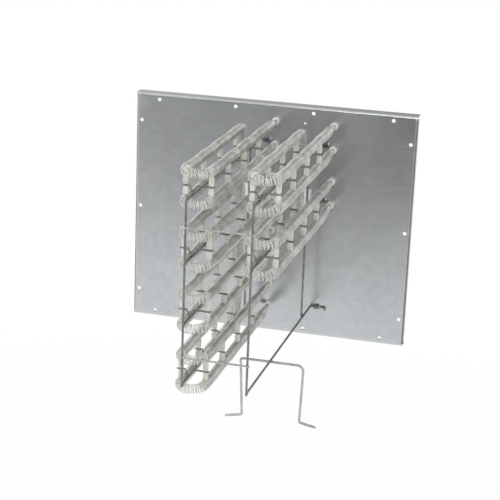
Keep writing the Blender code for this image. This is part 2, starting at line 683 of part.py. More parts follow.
# The object is put together.
mounting_plate()
element = element_mesh()
pair = insulator_pair_mesh()
bushing = bushing_mesh()
thermostat = thermostat_mesh()
for bank_side, bank_number, bank_x, bank_z in BANKS:
    label = f"{bank_side}_{{}}_{bank_number + 1}"
    place(label.format("element"), element, nichrome, (bank_x, 0, bank_z))
    for station in range(STATIONS):
        spot = (bank_x, -FIRST_STATION - STATION_PITCH * station, bank_z)
        place(label.format("insulators") + f"_{station + 1}", pair, steatite, spot)
for bushing_name, bushing_x, bushing_z in terminal_places():
    place(bushing_name, bushing, steatite, (bushing_x, 0, bushing_z))
for window_name, window_x, window_z in window_places():
    place(window_name, thermostat, bright_cap, (window_x, 0, window_z))
rack()
support_leg()
bpy.context.view_layer.update()
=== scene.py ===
import math

import bmesh
import bpy
import numpy as np
from mathutils import Matrix, Vector


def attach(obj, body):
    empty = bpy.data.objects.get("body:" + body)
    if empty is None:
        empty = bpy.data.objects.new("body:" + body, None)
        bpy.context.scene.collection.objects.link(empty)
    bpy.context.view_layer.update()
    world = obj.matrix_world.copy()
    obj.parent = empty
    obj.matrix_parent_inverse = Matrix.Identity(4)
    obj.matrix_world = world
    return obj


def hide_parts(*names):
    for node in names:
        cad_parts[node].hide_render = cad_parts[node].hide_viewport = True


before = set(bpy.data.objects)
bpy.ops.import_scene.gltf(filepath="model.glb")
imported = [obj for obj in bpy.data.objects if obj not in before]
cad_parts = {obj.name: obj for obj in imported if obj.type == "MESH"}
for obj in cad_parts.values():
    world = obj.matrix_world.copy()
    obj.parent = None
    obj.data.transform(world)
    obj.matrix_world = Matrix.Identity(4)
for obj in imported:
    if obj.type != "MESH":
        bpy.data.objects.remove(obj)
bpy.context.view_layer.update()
scene = bpy.context.scene

# Camera: a long lens, a little to the right of the plate's centre and above it, as the
# photograph was taken. Its right and back are given, and its up is square to both.
mm = 0.001
camera = bpy.data.objects.new("camera", bpy.data.cameras.new("camera"))
scene.collection.objects.link(camera)
scene.camera = camera
camera_place = Vector((512.8, -2109.7, 612.1)) * mm
camera_right = Vector((0.9652, 0.2589, 0.0378)).normalized()
camera_back = Vector((0.2367, -0.9255, 0.2958)).normalized()
camera_up = camera_back.cross(camera_right).normalized()
camera_right = camera_up.cross(camera_back)
camera_turn = Matrix((camera_right, camera_up, camera_back)).transposed().to_4x4()
camera.matrix_world = Matrix.Translation(camera_place) @ camera_turn
camera.data.sensor_width = 36.0
camera.data.lens = 109.81
camera.data.shift_x = -0.00134
camera.data.shift_y = 0.01458
camera.data.clip_start = 0.05
camera.data.clip_end = 60.0
scene.view_settings.view_transform = "Standard"

# Mounting plate: one sheet of galvanised steel, punched and lanced in the press, then folded
# back on all four sides. The wire rack hooks into its seven lanced bridges, the terminals
# pass through twelve ceramic bushings, and two windows show the limit thermostats behind it.
plate_half_width, plate_half_height = 210 * mm, 173 * mm
sheet_thickness = 1.2 * mm
fold_radius, fold_steps = 4.0 * mm, 8
corner_relief, corner_gap = 1.0 * mm, 0.2 * mm
top_flange_depth, side_flange_depth = 19 * mm, 12 * mm
column_x = {"left": -9.3 * mm, "right": 77.0 * mm}
top_bank_z, bank_pitch = 131.5 * mm, 82.0 * mm
bank_z = top_bank_z - bank_pitch * np.arange(4)
banks = [(side, number, column_x[side], bank_z[number])
         for side, count in (("left", 4), ("right", 2)) for number in range(count)]
terminal_x, terminal_z = 13.0 * mm, 17.5 * mm
rail_offset_x, rail_drop = -8.6 * mm, 12.0 * mm
rails = [(f"{side}_rail_{number + 1}", x + rail_offset_x, z - rail_drop)
         for side, number, x, z in banks]
rails.append(("right_rail_bottom", column_x["right"] + rail_offset_x, bank_z[3] - rail_drop))
terminals = [(f"{side}_bushing_{number + 1}_{tier}", x + terminal_x, z + sign * terminal_z)
             for side, number, x, z in banks for tier, sign in (("upper", 1), ("lower", -1))]
window_offset_x, window_drop = -28 * mm, 13.5 * mm
windows = [(side, x + window_offset_x, bank_z[1] - window_drop) for side, x in column_x.items()]
window_half_width, window_half_height, window_corner = 12 * mm, 16 * mm, 1.2 * mm
screw_radius, bushing_hole_radius = 2.75 * mm, 4.5 * mm
screw_row_end, screw_row_z = plate_half_width - 35.3 * mm, 164.1 * mm
screw_side_x, screw_side_end = 201.6 * mm, plate_half_height - 41.4 * mm
pilot_place, pilot_radius = (46.4 * mm, 148.5 * mm), 1.6 * mm
bridge_start, bridge_width, bridge_height, bridge_rise = 5 * mm, 9 * mm, 9 * mm, 4.9 * mm
bridge_rows, bridge_columns = 15, 5
# A bridge rises over this share of its height, and its slot is this much wider than it.
bridge_slope, slot_play = 0.24, 0.5 * mm
# Past these distances along a side fold and up a bridge, the zinc takes a darker colour as painted
# shade.
fold_shade_start, bridge_shade_start = 1.4 * mm, 0.2 * mm


def linear(hex_colour):
    """A hex sRGB colour as the linear values that a shader socket takes."""
    parts = [int(hex_colour[place:place + 2], 16) / 255 for place in (1, 3, 5)]
    return (*[c / 12.92 if c <= 0.04045 else ((c + 0.055) / 1.055) ** 2.4 for c in parts], 1.0)


def add_node(tree, kind, settings=None, stops=(), **inputs):
    """Add a node, set its properties and its inputs; an input may be a value or a socket. The
    stops of a colour ramp are (position, hex colour) pairs."""
    node = tree.nodes.new(kind)
    for name, value in (settings or {}).items():
        setattr(node, name, value)
    for number, (position, colour) in enumerate(stops):
        elements = node.color_ramp.elements
        element = elements[number] if number < len(elements) else elements.new(position)
        element.position, element.color = position, linear(colour)
    for name, value in inputs.items():
        key = int(name[1:]) if name[1:].isdigit() else name.replace("_", " ")
        if isinstance(value, bpy.types.NodeSocket):
            tree.links.new(value, node.inputs[key])
        else:
            node.inputs[key].default_value = value
    return node


def finish_named(name, metallic, roughness):
    """A new material with its tree, its shader and the object coordinates of its piece."""
    made = bpy.data.materials.new(name)
    made.use_nodes = True
    tree = made.node_tree
    shader = tree.nodes["Principled BSDF"]
    shader.inputs["Metallic"].default_value = metallic
    shader.inputs["Roughness"].default_value = roughness
    place = tree.nodes.new("ShaderNodeTexCoord").outputs["Object"]
    return made, tree, shader, place


def galvanised_finish(name, dark, middle, light):
    """Hot-dip galvanised sheet: soft grey zinc with a faint spangle of cells about 8 mm wide,
    cloudy patches, fine rolling marks and a few handling scratches that catch the light."""
    made, tree, shader, place = finish_named(name, 0.9, 0.24)
    spangle = add_node(tree, "ShaderNodeTexVoronoi", {"feature": "SMOOTH_F1"}, Vector=place,
                       Scale=1 / (8 * mm), Smoothness=0.35)
    clouds = add_node(tree, "ShaderNodeTexNoise", Vector=place, Scale=1 / (70 * mm), Detail=3.0)
    tint = add_node(tree, "ShaderNodeMix", {"data_type": "FLOAT"}, Factor=0.72,
                    i2=spangle.outputs["Color"], i3=clouds.outputs["Fac"])
    colour = add_node(tree, "ShaderNodeValToRGB", i0=tint.outputs[0],
                      stops=[(0.25, dark), (0.5, middle), (0.78, light)])
    rolling = add_node(tree, "ShaderNodeMapping", Vector=place, Scale=(18.0, 18.0, 900.0))
    marks = add_node(tree, "ShaderNodeTexNoise", Vector=rolling.outputs[0], Scale=1.0, Detail=4.0)
    rough = add_node(tree, "ShaderNodeMapRange", Value=marks.outputs["Fac"], From_Min=0.3,
                     From_Max=0.7, To_Min=0.21, To_Max=0.27)
    tree.links.new(rough.outputs[0], shader.inputs["Roughness"])
    scratch_place = add_node(tree, "ShaderNodeMapping", Vector=place, Rotation=(0, 0.6, 0),
                             Scale=(6.0, 6.0, 420.0))
    scratches = add_node(tree, "ShaderNodeTexNoise", Vector=scratch_place.outputs[0], Scale=1.0,
                         Detail=2.0)
    few = add_node(tree, "ShaderNodeMapRange", Value=scratches.outputs["Fac"], From_Min=0.68,
                   From_Max=0.74, To_Max=0.6)
    wear_and_highlight = add_node(tree, "ShaderNodeMix", {"data_type": "RGBA"}, i0=few.outputs[0],
                      i6=colour.outputs[0], i7=linear("#E9EBEC"))
    tree.links.new(wear_and_highlight.outputs[2], shader.inputs["Base Color"])
    height = add_node(tree, "ShaderNodeMath", {"operation": "MULTIPLY_ADD"},
                      i0=few.outputs[0], i1=-0.6, i2=marks.outputs["Fac"])
    bump = add_node(tree, "ShaderNodeBump", Strength=0.05, Distance=0.2 * mm,
                    Height=height.outputs[0])
    tree.links.new(bump.outputs[0], shader.inputs["Normal"])
    return made


def piece(name, points, faces, finish, slot=None, flat=False):
    mesh = bpy.data.meshes.new(name)
    mesh.from_pydata(np.asarray(points, float).tolist(), [], faces)
    mesh.update()
    if flat:
        mesh.shade_flat()
    else:
        mesh.shade_smooth()
    mesh.materials.append(finish)
    made = bpy.data.objects.new(name, mesh)
    scene.collection.objects.link(made)
    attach(made, "root")
    return made


def ring(centre, radius, sides):
    """Points evenly round a circle in the plate's plane."""
    angle = np.linspace(0, 2 * np.pi, sides, endpoint=False)
    return np.stack([centre[0] + radius * np.cos(angle), centre[1] + radius * np.sin(angle)], 1)


def rounded_box(centre, half_width, half_height, radius, steps=5):
    """Corner arcs of the given radius joined round an upright rectangle."""
    angle = np.linspace(0, np.pi / 2, steps)
    corners = []
    for quarter, (sx, sz) in enumerate(((1, 1), (-1, 1), (-1, -1), (1, -1))):
        turned = angle + quarter * np.pi / 2
        corners.append(np.stack([
            centre[0] + sx * (half_width - radius) + radius * np.cos(turned),
            centre[1] + sz * (half_height - radius) + radius * np.sin(turned)], 1))
    return np.concatenate(corners)


def flat_sheet(loops):
    """The area inside the first loop and outside the others, as points and faces at y = 0."""
    curve = bpy.data.curves.new("outline", "CURVE")
    curve.dimensions = "2D"
    curve.fill_mode = "BOTH"
    for loop in loops:
        spline = curve.splines.new("POLY")
        spline.points.add(len(loop) - 1)
        spline.use_cyclic_u = True
        zeros = np.zeros((len(loop), 2))
        zeros[:, 1] = 1.0
        spline.points.foreach_set("co", np.hstack([loop, zeros]).ravel())
    holder = bpy.data.objects.new("outline", curve)
    scene.collection.objects.link(holder)
    bpy.context.view_layer.update()
    mesh = bpy.data.meshes.new_from_object(
        holder.evaluated_get(bpy.context.evaluated_depsgraph_get()))
    bpy.data.objects.remove(holder, do_unlink=True)
    points = np.array([vert.co for vert in mesh.vertices])
    faces = [list(face.vertices) for face in mesh.polygons]
    return np.stack([points[:, 0], np.zeros(len(points)), points[:, 1]], 1), faces


def grid_faces(rows, columns):
    """Four-cornered faces between neighbouring rows and columns of a grid of points."""
    row, column = np.meshgrid(np.arange(rows - 1), np.arange(columns - 1), indexing="ij")
    first = (row * columns + column).ravel()
    return np.stack([first, first + 1, first + columns + 1, first + columns], 1).tolist()


def fold_strip(length, reach, depth, to_sheet):
    """A quarter bend and its flange: along the edge, then round the bend by its angle."""
    angle = np.linspace(0, np.pi / 2, fold_steps + 1)
    out = np.append(fold_radius * np.sin(angle), fold_radius)
    back = np.append(fold_radius * (1 - np.cos(angle)), depth)
    along = np.array([-length - reach, -length, length, length + reach] if reach
                     else [-length, length])
    first, second = np.meshgrid(np.arange(len(out)), along, indexing="ij")
    points = to_sheet(second, out[first], back[first])
    return np.stack(points, -1).reshape(-1, 3), grid_faces(len(out), len(along))


def merged(parts):
    """Several pairs of points and faces as one pair."""
    points, faces, start = [], [], 0
    for some_points, some_faces in parts:
        points.append(some_points)
        faces += [[index + start for index in face] for face in some_faces]
        start += len(some_points)
    return np.concatenate(points), faces


flat_x = plate_half_width - fold_radius
flat_z = plate_half_height - fold_radius
outline = np.array([(-flat_x + corner_relief, -flat_z), (flat_x - corner_relief, -flat_z),
                    (flat_x, -flat_z + corner_relief), (flat_x, flat_z - corner_relief),
                    (flat_x - corner_relief, flat_z), (-flat_x + corner_relief, flat_z),
                    (-flat_x, flat_z - corner_relief), (-flat_x, -flat_z + corner_relief)])
screw_holes = [(screw_row_end * share / 3, sign * screw_row_z) for share in (-3, -1, 1, 3)
               for sign in (-1, 1)]
screw_holes += [(sign * screw_side_x, screw_side_end * share)
                for sign in (-1, 1) for share in (-1, 0, 1)]
loops = [outline]
loops += [ring(hole, screw_radius, 28) for hole in screw_holes]
loops += [ring((x, z), bushing_hole_radius, 24) for _, x, z in terminals]
loops += [rounded_box((x, z), window_half_width, window_half_height, window_corner)
          for _, x, z in windows]
loops.append(ring(pilot_place, pilot_radius, 20))
across = np.linspace(0, bridge_width, bridge_columns)
share = np.linspace(0, 1, bridge_rows)
rise = np.clip(np.minimum(share, 1 - share) / bridge_slope, 0, 1)
rise = rise * rise * (3 - 2 * rise)
sheets = []
for _, x, z in rails:
    left = x + bridge_start
    ends = np.concatenate([[left - slot_play], left + across,
                           [left + bridge_width + slot_play]])
    low = np.stack([ends, np.full(len(ends), z - bridge_height / 2)], 1)
    high = np.stack([ends[::-1], np.full(len(ends), z + bridge_height / 2)], 1)
    loops.append(np.concatenate([low, high]))
    row, place_x = np.meshgrid(np.arange(bridge_rows), left + across, indexing="ij")
    bridge = np.stack([place_x, -bridge_rise * rise[row],
                       z + bridge_height * (share[row] - 0.5)], -1)
    sheets.append((bridge.reshape(-1, 3), grid_faces(bridge_rows, bridge_columns)))
sheets.append(flat_sheet(loops))
# The top and bottom strips reach over the ends of the side strips, so the corners are closed.
reach_over = fold_radius + corner_relief - corner_gap
for sign in (-1, 1):
    sheets.append(fold_strip(flat_x - corner_relief, reach_over, top_flange_depth,
                             lambda along, out, back: (along, back, sign * (flat_z + out))))
    sheets.append(fold_strip(flat_z - corner_relief, 0, side_flange_depth,
                             lambda along, out, back: (sign * (flat_x + out), back, along)))
zinc = galvanised_finish("galvanised_sheet", "#C5C8CA", "#CCCFD1", "#D3D6D8")
# A darker copy of the galvanised zinc, used as painted shade.
painted_shade_zinc = galvanised_finish("painted_shade_zinc", "#6F7274", "#7B7E80", "#8A8D8F")
plate = piece("plate_sheet", *merged(sheets), zinc, "galvanised_sheet")
# The bridges and the side folds get a darker copy of the zinc: painted shade.
plate.data.materials.append(painted_shade_zinc)
work = bmesh.new()
work.from_mesh(plate.data)
bmesh.ops.remove_doubles(work, verts=work.verts, dist=0.01 * mm)
bmesh.ops.beautify_fill(work, faces=[face for face in work.faces if len(face.verts) == 3],
                        edges=[edge for edge in work.edges
                               if all(len(face.verts) == 3 for face in edge.link_faces)])
bmesh.ops.recalc_face_normals(work, faces=work.faces)
if max(work.faces, key=lambda face: face.calc_area()).normal.y > 0:
    bmesh.ops.reverse_faces(work, faces=work.faces)
# Faces in the bridges and over the side folds take the darker zinc as painted shade.
for face in work.faces:
    middle = face.calc_center_median()
    in_bridge = middle.y < -bridge_shade_start
    in_fold = abs(middle.x) > flat_x + fold_shade_start and middle.y < fold_radius
    face.material_index = int(in_bridge or in_fold)
work.to_mesh(plate.data)
work.free()
shell = plate.modifiers.new("sheet", "SOLIDIFY")
shell.thickness = sheet_thickness
shell.offset = -1.0
shell.use_even_offset = True
edge_break = plate.modifiers.new("edges", "BEVEL")
edge_break.width = 0.18 * mm
edge_break.segments = 2
edge_break.limit_method = "ANGLE"
edge_break.angle_limit = math.radians(50)
edge_break.harden_normals = True
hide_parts("mounting_plate")

# Heating elements: resistance wire wound into an open coil. One coil makes a whole bank: out
# along the top right, round the front, back along the top left, down, and the same again
# below. It sags a little between its ceramics, and its turns open on the outside of a bend.
coil_radius, wire_radius = 6.75 * mm, 0.62 * mm
# The coil is pulled open a little round the front.
turn_pitch, front_pitch = 3.0 * mm, 4.0 * mm
turn_steps, wire_sides = 12, 6
# Where the left and right runs of the upper (1) and the lower (-1) tier lie, across and up.
left_x = {1: -17.5 * mm, -1: -17.5 * mm}
right_x = {1: 16.6 * mm, -1: 15.0 * mm}
tier_z = {1: 21.5 * mm, -1: 18.7 * mm}
first_station, station_pitch, station_count = 110 * mm, 77 * mm, 4
stations = first_station + station_pitch * np.arange(station_count)
front_turn = stations[-1]
rear_turn, rear_bend, coil_end = 74 * mm, 10 * mm, 10 * mm
# The front turn droops by this many sags. The coil starts to sag this high over the bank's
# middle, and sags in full this much further up.
sag, front_droop = 1.1 * mm, 1.3
sag_from, sag_over = 10 * mm, 8 * mm
# The lead is level with the first station after 1 / lead_haste of its length.
lead_haste = 1.4
lead_points, out_points, turn_points, back_points, bend_points = 200, 600, 160, 700, 60
pin_radius, coil_taper = 2.0 * mm, 38 * mm
# Shares of the coil's length: half of the part that stands on end, and the twist beside it.
standing_share, twist_share = 0.09, 0.1


def nichrome_finish():
    """Nickel-chrome wire, drawn bright and a little dulled by its first heating: a warm grey
    gloss in soft patches. Round the front, where the coil is pulled open by hand, the colour
    is lightened as a painted highlight, so that its single turns show."""
    made, tree, shader, place = finish_named("nichrome_wire", 1.0, 0.28)
    clouds = add_node(tree, "ShaderNodeTexNoise", Vector=place, Scale=1 / (20 * mm), Detail=3.0)
    colour = add_node(tree, "ShaderNodeValToRGB", i0=clouds.outputs["Fac"],
                      stops=[(0.3, "#B4B3AF"), (0.52, "#C9C8C4"), (0.72, "#DCDBD8")])
    axes = add_node(tree, "ShaderNodeSeparateXYZ", Vector=place)
    # Beyond the front turn the wire's colour is lightened towards a pale grey: painted highlight.
    front = add_node(tree, "ShaderNodeMapRange", Value=axes.outputs["Y"],
                     From_Min=-front_turn, From_Max=-front_turn - 6 * mm)
    wear_and_highlight = add_node(tree, "ShaderNodeMix", {"data_type": "RGBA"}, i0=front.outputs[0],
                      i6=colour.outputs[0], i7=linear("#E8E7E3"))
    tree.links.new(wear_and_highlight.outputs[2], shader.inputs["Base Color"])
    grain = add_node(tree, "ShaderNodeTexNoise", Vector=place, Scale=1 / (1.5 * mm), Detail=2.0)
    rough = add_node(tree, "ShaderNodeMapRange", Value=grain.outputs["Fac"],
                     To_Min=0.24, To_Max=0.38)
    tree.links.new(rough.outputs[0], shader.inputs["Roughness"])
    return made


def eased(share):
    """A smooth rise from 0 to 1: half a cosine wave."""
    return (1 - np.cos(np.pi * np.clip(share, 0, 1))) / 2


def lead_path(tier):
    """From the terminal to the first station: sideways and up by an eased share of the way."""
    share = np.linspace(0, 1, lead_points)
    part = eased(share * lead_haste)
    return np.stack([terminal_x + (right_x[tier] - terminal_x) * part,
                     -coil_end - (first_station - coil_end) * share,
                     terminal_z + (tier_z[tier] - terminal_z) * part], 1)


def loop_path(tier):
    """Half of a bank's coil: lead, right run, half circle, left run, quarter bend, and down to
    the middle of the bank."""
    half_turn = np.linspace(0, np.pi, turn_points)
    quarter = np.linspace(0, np.pi / 2, bend_points)
    out = np.linspace(first_station, front_turn, out_points)
    back = np.linspace(front_turn, rear_turn + rear_bend, back_points)
    middle, reach = (right_x[tier] + left_x[tier]) / 2, (right_x[tier] - left_x[tier]) / 2
    high = tier_z[tier]
    drop = np.linspace(high - rear_bend, 0, bend_points)
    flat = np.concatenate([
        np.stack([np.full(len(out), right_x[tier]), -out], 1),
        np.stack([middle + reach * np.cos(half_turn), -front_turn - reach * np.sin(half_turn)], 1),
        np.stack([np.full(len(back), left_x[tier]), -back], 1)])
    level = np.full((len(flat), 1), high)
    bend = np.stack([np.full(len(quarter), left_x[tier]),
                     -rear_turn - rear_bend + rear_bend * np.sin(quarter),
                     high - rear_bend + rear_bend * np.cos(quarter)], 1)
    down = np.stack([np.full(len(drop), left_x[tier]), np.full(len(drop), -rear_turn), drop], 1)
    return np.concatenate([lead_path(tier), np.hstack([flat, level]), bend, down])


def hung(path):
    """Lower the coil by a squared sine between stations, and let the front turn droop."""
    y = -path[:, 1]
    between = np.sin(np.pi * (y - first_station) / station_pitch) ** 2
    droop = np.where(y > front_turn, front_droop * eased((y - front_turn) / right_x[1]), between)
    rest = np.clip((y - coil_end) / (first_station - coil_end), 0, 1)
    level = np.clip((np.abs(path[:, 2]) - sag_from) / sag_over, 0, 1)
    lowered = path.copy()
    lowered[:, 2] -= sag * droop * rest * level
    return lowered


def unit(vectors):
    """Each vector divided by its length."""
    return vectors / np.linalg.norm(vectors, axis=-1, keepdims=True)


def capped_rings(rings, sides):
    """Faces for rings of points, one after the other: four-cornered ones between neighbouring
    rings, closed round each ring, and a cap over the first and the last."""
    row = np.arange(rings - 1)[:, None] * sides
    here, there = np.arange(sides)[None], (np.arange(sides) + 1)[None] % sides
    quads = np.stack([row + here, row + there, row + sides + there, row + sides + here], -1)
    last = (rings - 1) * sides
    return [list(range(sides))[::-1], *quads.reshape(-1, 4).tolist(),
            list(range(last, last + sides))]


def inside_out(faces):
    """The same faces, seen from their other side."""
    return [face[::-1] for face in faces]


def skin(path, radius, sides, hint):
    """A tube: every point of the path carries a circle, square to the path, whose first
    direction is the hint less its part along the path. Both ends are closed."""
    along = unit(np.gradient(path, axis=0))
    hint = np.broadcast_to(hint, path.shape)
    first = unit(hint - along * np.sum(hint * along, 1, keepdims=True))
    second = np.cross(along, first)
    angle = np.linspace(0, 2 * np.pi, sides, endpoint=False)[None, :, None]
    radius = np.broadcast_to(np.asarray(radius, float), (len(path),))[:, None, None]
    points = path[:, None] + radius * (np.cos(angle) * first[:, None]
                                       + np.sin(angle) * second[:, None])
    return points.reshape(-1, 3), capped_rings(len(path), sides)


def wound(path):
    """A helix round the path. Its angle grows by a whole turn for each pitch of length,
    stretched a little so that a gap between turns comes at every ceramic. Round the front,
    between the last station of the right run and that of the left one, the pitch is wider.
    The helix's two directions turn slowly from upright to sideways where the coil stands on
    end."""
    length = np.append(0, np.cumsum(np.linalg.norm(np.diff(path, axis=0), axis=1)))
    visits = [(np.array([side_x[tier], -y, tier * tier_z[tier]]), tier)
              for side_x in (left_x, right_x) for tier in (-1, 1) for y in stations]
    marks = sorted((length[np.argmin(np.linalg.norm(path - spot, axis=1))], tier)
                   for spot, tier in visits)
    knots = np.array([0.0] + [mark for mark, _ in marks] + [length[-1]])
    # A tongue comes from below in the upper tier and from above in the lower one, so the gap
    # is half a turn further on there.
    halves = np.array([0.0] + [0.25 - 0.25 * tier for _, tier in marks] + [0.0])
    pitches = np.full(len(knots) - 1, turn_pitch)
    pitches[[station_count, -station_count - 1]] = front_pitch
    turns = np.round(np.append(0, np.cumsum(np.diff(knots) / pitches))) + halves
    count = int(round(turns[-1])) * turn_steps + 1
    turn = np.linspace(0, turns[-1], count)
    wanted = np.interp(turn, turns, knots)
    line = np.stack([np.interp(wanted, length, path[:, axis]) for axis in range(3)], 1)
    along = unit(np.gradient(line, axis=0))
    share = wanted / length[-1]
    upright = eased((np.abs(share - 0.5) - standing_share) / twist_share)[:, None] * np.pi / 2
    hint = np.sin(upright) * np.array([0, 0, 1.0]) + np.cos(upright) * np.array([1.0, 0, 0])
    first = unit(hint - along * np.sum(hint * along, 1, keepdims=True))
    second = np.cross(along, first)
    angle = 2 * np.pi * turn[:, None]
    ray = np.cos(angle) * first + np.sin(angle) * second
    ends = eased(np.minimum(share, 1 - share) * length[-1] / coil_taper)[:, None]
    reach = pin_radius + wire_radius + (coil_radius - pin_radius - 2 * wire_radius) * ends
    return line + reach * ray, ray


bank_path = hung(np.concatenate([loop_path(1), loop_path(-1)[::-1][1:] * (1, 1, -1)]))
# Where two parts of the path meet, one of the two equal points is dropped.
same_place = 1e-8
moves_on = np.linalg.norm(np.diff(bank_path, axis=0), axis=1) > same_place
bank_path = bank_path[np.append(True, moves_on)]
helix, helix_rays = wound(bank_path)
coil_points, coil_faces = skin(helix, wire_radius, wire_sides, helix_rays)
nichrome = nichrome_finish()
for side, number, x, z in banks:
    coil = piece(f"{side}_coil_{number + 1}", coil_points + np.array([x, 0, z]), coil_faces,
                 nichrome, "nichrome_wire")
    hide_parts(f"{side}_element_{number + 1}")

# Terminals: a zinc-plated steel pin is welded into each coil end. It comes through the
# plate in its bushing, is threaded behind the plate, and is held there by a washer and a nut.
pin_front, pin_back = -16 * mm, 16 * mm
nut_start, nut_height, nut_flats, nut_chamfer = 4.5 * mm, 3.2 * mm, 4.0 * mm, 0.5 * mm
thread_start, thread_end = nut_start - 1 * mm, pin_back - 0.6 * mm
thread_pitch, thread_depth = 0.7 * mm, 0.36 * mm


def patchy_finish(name, metallic, roughness, stops, patch, grain, relief):
    """A new material with soft patches of its colours and a fine grain in relief. Patch and
    grain are a size and a detail, and relief is a strength and a depth. It comes with its
    tree, its shader and the grain."""
    made, tree, shader, place = finish_named(name, metallic, roughness)
    patches, fine = [add_node(tree, "ShaderNodeTexNoise", Vector=place, Scale=1 / size,
                              Detail=detail).outputs["Fac"] for size, detail in (patch, grain)]
    colour = add_node(tree, "ShaderNodeValToRGB", i0=patches, stops=stops)
    tree.links.new(colour.outputs[0], shader.inputs["Base Color"])
    bump = add_node(tree, "ShaderNodeBump", Strength=relief[0], Distance=relief[1], Height=fine)
    tree.links.new(bump.outputs[0], shader.inputs["Normal"])
    return made, tree, shader, fine


def turned(profile, sides=32, shape=None):
    """A profile of (radius, y) rows turned about the y axis. Shape may change each radius by
    its angle round the axis. A profile that ends where it starts makes a ring, and any other
    one gets a cap at both ends."""
    angle = np.linspace(0, 2 * np.pi, sides, endpoint=False)
    radius = np.array([row[0] for row in profile])[:, None] * np.ones(sides)
    if shape is not None:
        radius = shape(radius, angle)
    y = np.array([row[1] for row in profile])[:, None] * np.ones(sides)
    points = np.stack([radius * np.cos(angle), y, -radius * np.sin(angle)], -1)
    faces = capped_rings(len(profile), sides)
    if np.allclose(profile[0], profile[-1]):
        last = (len(profile) - 1) * sides
        return points[:-1].reshape(-1, 3), [[index % last for index in face]
                                            for face in faces[1:-1]]
    return points.reshape(-1, 3), faces


def hexagon(radius, angle):
    """Cut a circle back to six flats: the flat's distance over the cosine from its middle."""
    from_flat = (angle + np.pi / 6) % (np.pi / 3) - np.pi / 6
    return np.minimum(radius, nut_flats / np.cos(from_flat))


def pin_thread():
    """A threaded stud: the radius rises and falls with the height less the angle's share."""
    steps, sides = 8, 24
    count = int(round((pin_back - thread_start) / thread_pitch)) * steps
    y = np.linspace(thread_start, thread_end, count)[:, None]
    angle = np.linspace(0, 2 * np.pi, sides, endpoint=False)[None]
    wave = np.abs(((y / thread_pitch - angle / (2 * np.pi)) % 1) - 0.5) * 2
    return y, angle, pin_radius - thread_depth * wave


def terminal_pin():
    """The pin's shank, its welded end inside the coil, and its thread, as one turned form."""
    y, angle, radius = pin_thread()
    sides = angle.shape[1]
    front_y = np.array([pin_front, pin_front + 0.4 * mm, -9 * mm, nut_start - 1.1 * mm])[:, None]
    front_r = np.array([0.5, 0.95, 1.0, 1.0])[:, None] * pin_radius * np.ones((1, sides))
    tip_y = np.array([pin_back - 0.3 * mm, pin_back])[:, None]
    tip_r = np.array([0.8, 0.6])[:, None] * pin_radius * np.ones((1, sides))
    y = np.concatenate([front_y, y, tip_y]) * np.ones((1, sides))
    radius = np.concatenate([front_r, radius, tip_r])
    points = np.stack([radius * np.cos(angle), y, -radius * np.sin(angle)], -1)
    return points.reshape(-1, 3), capped_rings(len(y), sides)


def moved(shape, offset):
    """Points and faces, moved."""
    return shape[0] + np.asarray(offset, float), shape[1]


bore = pin_radius - 0.1 * mm
wide = nut_flats / math.cos(math.pi / 6)
nut_end = nut_start + nut_height
nut_profile = [(bore, nut_start), (nut_flats, nut_start), (wide, nut_start + nut_chamfer),
               (wide, nut_end - nut_chamfer), (nut_flats, nut_end), (bore, nut_end),
               (bore, nut_start)]
washer_profile = [(bore, 4.2 * mm), (4.1 * mm, 4.2 * mm), (4.3 * mm, 4.3 * mm),
                  (4.3 * mm, 4.45 * mm), (bore, 4.45 * mm), (bore, 4.2 * mm)]
# Steel with a bright zinc plating: smooth, with a soft cloudiness and crisp reflections.
plated = patchy_finish("zinc_plated_steel", 1.0, 0.28, [(0.3, "#B3B5B6"), (0.7, "#C9CACA")],
                       (6 * mm, 2.0), (0.8 * mm, 2.0), (0.12, 0.05 * mm))[0]
pin_shape = terminal_pin()
nut_shape = merged([turned(nut_profile, 48, hexagon), turned(washer_profile, 32)])
for side, number, x, z in banks:
    spots = [(x + terminal_x, 0, z + sign * terminal_z) for sign in (1, -1)]
    piece(f"{side}_pins_{number + 1}", *merged([moved(pin_shape, spot) for spot in spots]),
          plated)
    piece(f"{side}_nuts_{number + 1}", *merged([moved(nut_shape, spot) for spot in spots]),
          plated, flat=True)

# Bushings: turned steatite rings with a thick head on the air side, which keep the pins clear
# of the plate. Their glaze is a warmer cream than the bare ceramics, and shines.


def ceramic_finish(name, dark, light, roughness, coat):
    """Steatite, pressed and fired: cream, even, with faint mottling and fine pores. The coat
    is its glaze, where it has one."""
    made, _, shader, _ = patchy_finish(name, 0.0, roughness, [(0.3, dark), (0.62, light)],
                                       (6 * mm, 4.0), (0.7 * mm, 3.0), (0.25, 0.06 * mm))
    shader.inputs["Coat Weight"].default_value = coat
    shader.inputs["Coat Roughness"].default_value = 0.12
    return made


head, shank, bush_bore = 5.5 * mm, 4.2 * mm, 2.5 * mm
head_front, head_back, shank_end = -8 * mm, -0.3 * mm, 4.2 * mm
head_round, bevel, small_bevel = 1.3 * mm, 0.4 * mm, 0.3 * mm
head_edge = [(head - head_round + head_round * math.cos(angle),
              head_front + head_round - head_round * math.sin(angle))
             for angle in np.linspace(np.pi / 2, 0, 6)]
bushing_profile = [(bush_bore, shank_end), (bush_bore, head_front + bevel),
                   (bush_bore + bevel, head_front), *head_edge, (head, head_back - small_bevel),
                   (head - small_bevel, head_back), (shank, head_back),
                   (shank, shank_end - bevel), (shank - bevel, shank_end),
                   (bush_bore, shank_end)]
glazed = ceramic_finish("glazed_steatite", "#E9E4D8", "#F6F3EB", 0.35, 0.4)
bushing_shape = turned(bushing_profile, 40)
for name, x, z in terminals:
    bushing = piece(f"{name}_ceramic", *moved(bushing_shape, (x, 0, z)), glazed,
                    "steatite_ceramic")
    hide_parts(name)

